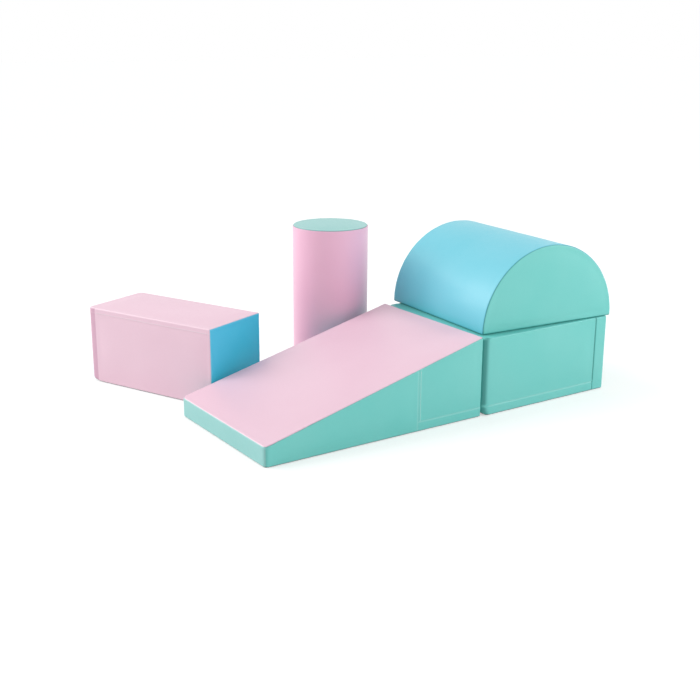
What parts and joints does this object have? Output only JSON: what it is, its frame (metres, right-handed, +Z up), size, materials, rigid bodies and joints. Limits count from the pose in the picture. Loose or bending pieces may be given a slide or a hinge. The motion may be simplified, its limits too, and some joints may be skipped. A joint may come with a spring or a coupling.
{
  "type": "foam play block set",
  "caption": "Soft foam play blocks in zipped covers: a ramp against a square block topped by a half round, with a long bar and an upright cylinder beside them.",
  "frame": {"origin": "middle of the set's footprint, on the floor", "axes": "+X runs up the ramp towards the square block, +Y away from the side with the seamed panels, +Z up"},
  "size_m": [1.4016, 1.0852, 0.5022],
  "materials": {
    "pink_cover": "satin coated fabric that looks like leather, pale pink",
    "teal_cover": "satin coated fabric that looks like leather, pastel teal green",
    "pale_teal_cover": "satin coated fabric that looks like leather, lighter teal",
    "sky_blue_cover": "satin coated fabric that looks like leather, sky blue",
    "blue_cover": "satin coated fabric that looks like leather, deeper blue",
    "non_slip_base": "woven fabric with raised non-slip dots",
    "foam": "open-cell polyurethane foam, matte",
    "hook_and_loop": "hook-and-loop tape, matte pile",
    "zip_tape": "woven tape with a nylon coil",
    "zip_metal": "satin nickel-plated zinc"
  },
  "bodies": {
    "base": {"base_far_side_band": "teal_cover", "base_far_side_panel": "teal_cover", "base_foam_core": "foam", "base_left_side_panel": "teal_cover", "base_left_top_hook_strip": "hook_and_loop", "base_near_corner_strip": "teal_cover", "base_near_side_band": "teal_cover", "base_near_side_panel": "teal_cover", "base_right_side_panel": "teal_cover", "base_right_top_hook_strip": "hook_and_loop", "base_side_hook_strip": "hook_and_loop", "base_top_panel": "teal_cover", "base_underside": "non_slip_base", "base_zip_chain": "zip_tape"},
    "base_slider": {"base_zip_slider": "zip_metal"},
    "base_pull": {"base_zip_pull": "zip_metal"},
    "ramp": {"ramp_far_side_band": "teal_cover", "ramp_far_side_panel": "teal_cover", "ramp_foam_core": "foam", "ramp_loop_strip": "hook_and_loop", "ramp_low_end_panel": "pale_teal_cover", "ramp_near_side_band": "teal_cover", "ramp_near_side_front": "teal_cover", "ramp_near_side_rear": "teal_cover", "ramp_slope_panel": "pink_cover", "ramp_tall_end_panel": "teal_cover", "ramp_underside": "non_slip_base", "ramp_zip_chain": "zip_tape"},
    "ramp_slider": {"ramp_zip_slider": "zip_metal"},
    "ramp_pull": {"ramp_zip_pull": "zip_metal"},
    "half_round": {"half_round_arch_panel": "sky_blue_cover", "half_round_far_side_band": "teal_cover", "half_round_far_side_panel": "teal_cover", "half_round_foam_core": "foam", "half_round_left_loop_strip": "hook_and_loop", "half_round_near_end_panel": "teal_cover", "half_round_right_loop_strip": "hook_and_loop", "half_round_underside": "teal_cover", "half_round_zip_chain": "zip_tape"},
    "half_round_slider": {"half_round_zip_slider": "zip_metal"},
    "half_round_pull": {"half_round_zip_pull": "zip_metal"},
    "bar": {"bar_far_side_band": "pink_cover", "bar_far_side_panel": "pink_cover", "bar_foam_core": "foam", "bar_left_end_panel": "blue_cover", "bar_near_corner_strip": "pink_cover", "bar_near_side_panel": "pink_cover", "bar_right_end_panel": "blue_cover", "bar_top_panel": "pink_cover", "bar_underside": "non_slip_base", "bar_zip_chain": "zip_tape"},
    "bar_slider": {"bar_zip_slider": "zip_metal"},
    "bar_pull": {"bar_zip_pull": "zip_metal"},
    "cylinder": {"cylinder_foam_core": "foam", "cylinder_foot_disc": "non_slip_base", "cylinder_side_wrap": "pink_cover", "cylinder_top_disc": "teal_cover", "cylinder_zip_chain": "zip_tape"},
    "cylinder_slider": {"cylinder_zip_slider": "zip_metal"},
    "cylinder_pull": {"cylinder_zip_pull": "zip_metal"}
  },
  "joints": [
    {"name": "ramp_pull_away", "type": "slide", "parent": "base", "child": "ramp", "axis": [-1, 0, 0], "range_m": [0, 0.3]},
    {"name": "half_round_lift", "type": "slide", "parent": "base", "child": "half_round", "axis": [0, 0, 1], "range_m": [0, 0.3]},
    {"name": "bar_push_away", "type": "slide", "parent": "base", "child": "bar", "axis": [-0.3992, 0.9169, 0], "range_m": [0, 0.3]},
    {"name": "cylinder_push_away", "type": "slide", "parent": "base", "child": "cylinder", "axis": [0, 1, 0], "range_m": [0, 0.3]},
    {"name": "base_zip_run", "type": "slide", "parent": "base", "child": "base_slider", "axis": [-1, 0, 0], "range_m": [0, 0.351]},
    {"name": "base_pull_swing", "type": "hinge", "parent": "base_slider", "child": "base_pull", "pos_m": [0.57467, -0.03692, 0.03], "axis": [0, 0, 1], "range_deg": [0, 175]},
    {"name": "ramp_zip_run", "type": "slide", "parent": "ramp", "child": "ramp_slider", "axis": [-1, 0, 0], "range_m": [0, 0.342]},
    {"name": "ramp_pull_swing", "type": "hinge", "parent": "ramp_slider", "child": "ramp_pull", "pos_m": [0.05777, -0.03292, 0.03], "axis": [0, 0, 1], "range_deg": [0, 175]},
    {"name": "half_round_zip_run", "type": "slide", "parent": "half_round", "child": "half_round_slider", "axis": [-0.9977, 0.068, 0], "range_m": [0, 0.345]},
    {"name": "half_round_pull_swing", "type": "hinge", "parent": "half_round_slider", "child": "half_round_pull", "pos_m": [0.62096, -0.03225, 0.2764], "axis": [0, 0, 1], "range_deg": [0, 175]},
    {"name": "bar_zip_run", "type": "slide", "parent": "bar", "child": "bar_slider", "axis": [-0.3992, 0.9169, 0], "range_m": [0, 0.347]},
    {"name": "bar_pull_swing", "type": "hinge", "parent": "bar_slider", "child": "bar_pull", "pos_m": [-0.3032, 0.15581, 0.03], "axis": [0, 0, 1], "range_deg": [0, 175]},
    {"name": "cylinder_zip_run", "type": "slide", "parent": "cylinder", "child": "cylinder_slider", "axis": [0, 0, 1], "range_m": [0, 0.342]},
    {"name": "cylinder_pull_swing", "type": "hinge", "parent": "cylinder_slider", "child": "cylinder_pull", "pos_m": [0.02707, 0.25349, 0.0538], "axis": [1, 0, 0], "range_deg": [0, 175]}
  ]
}
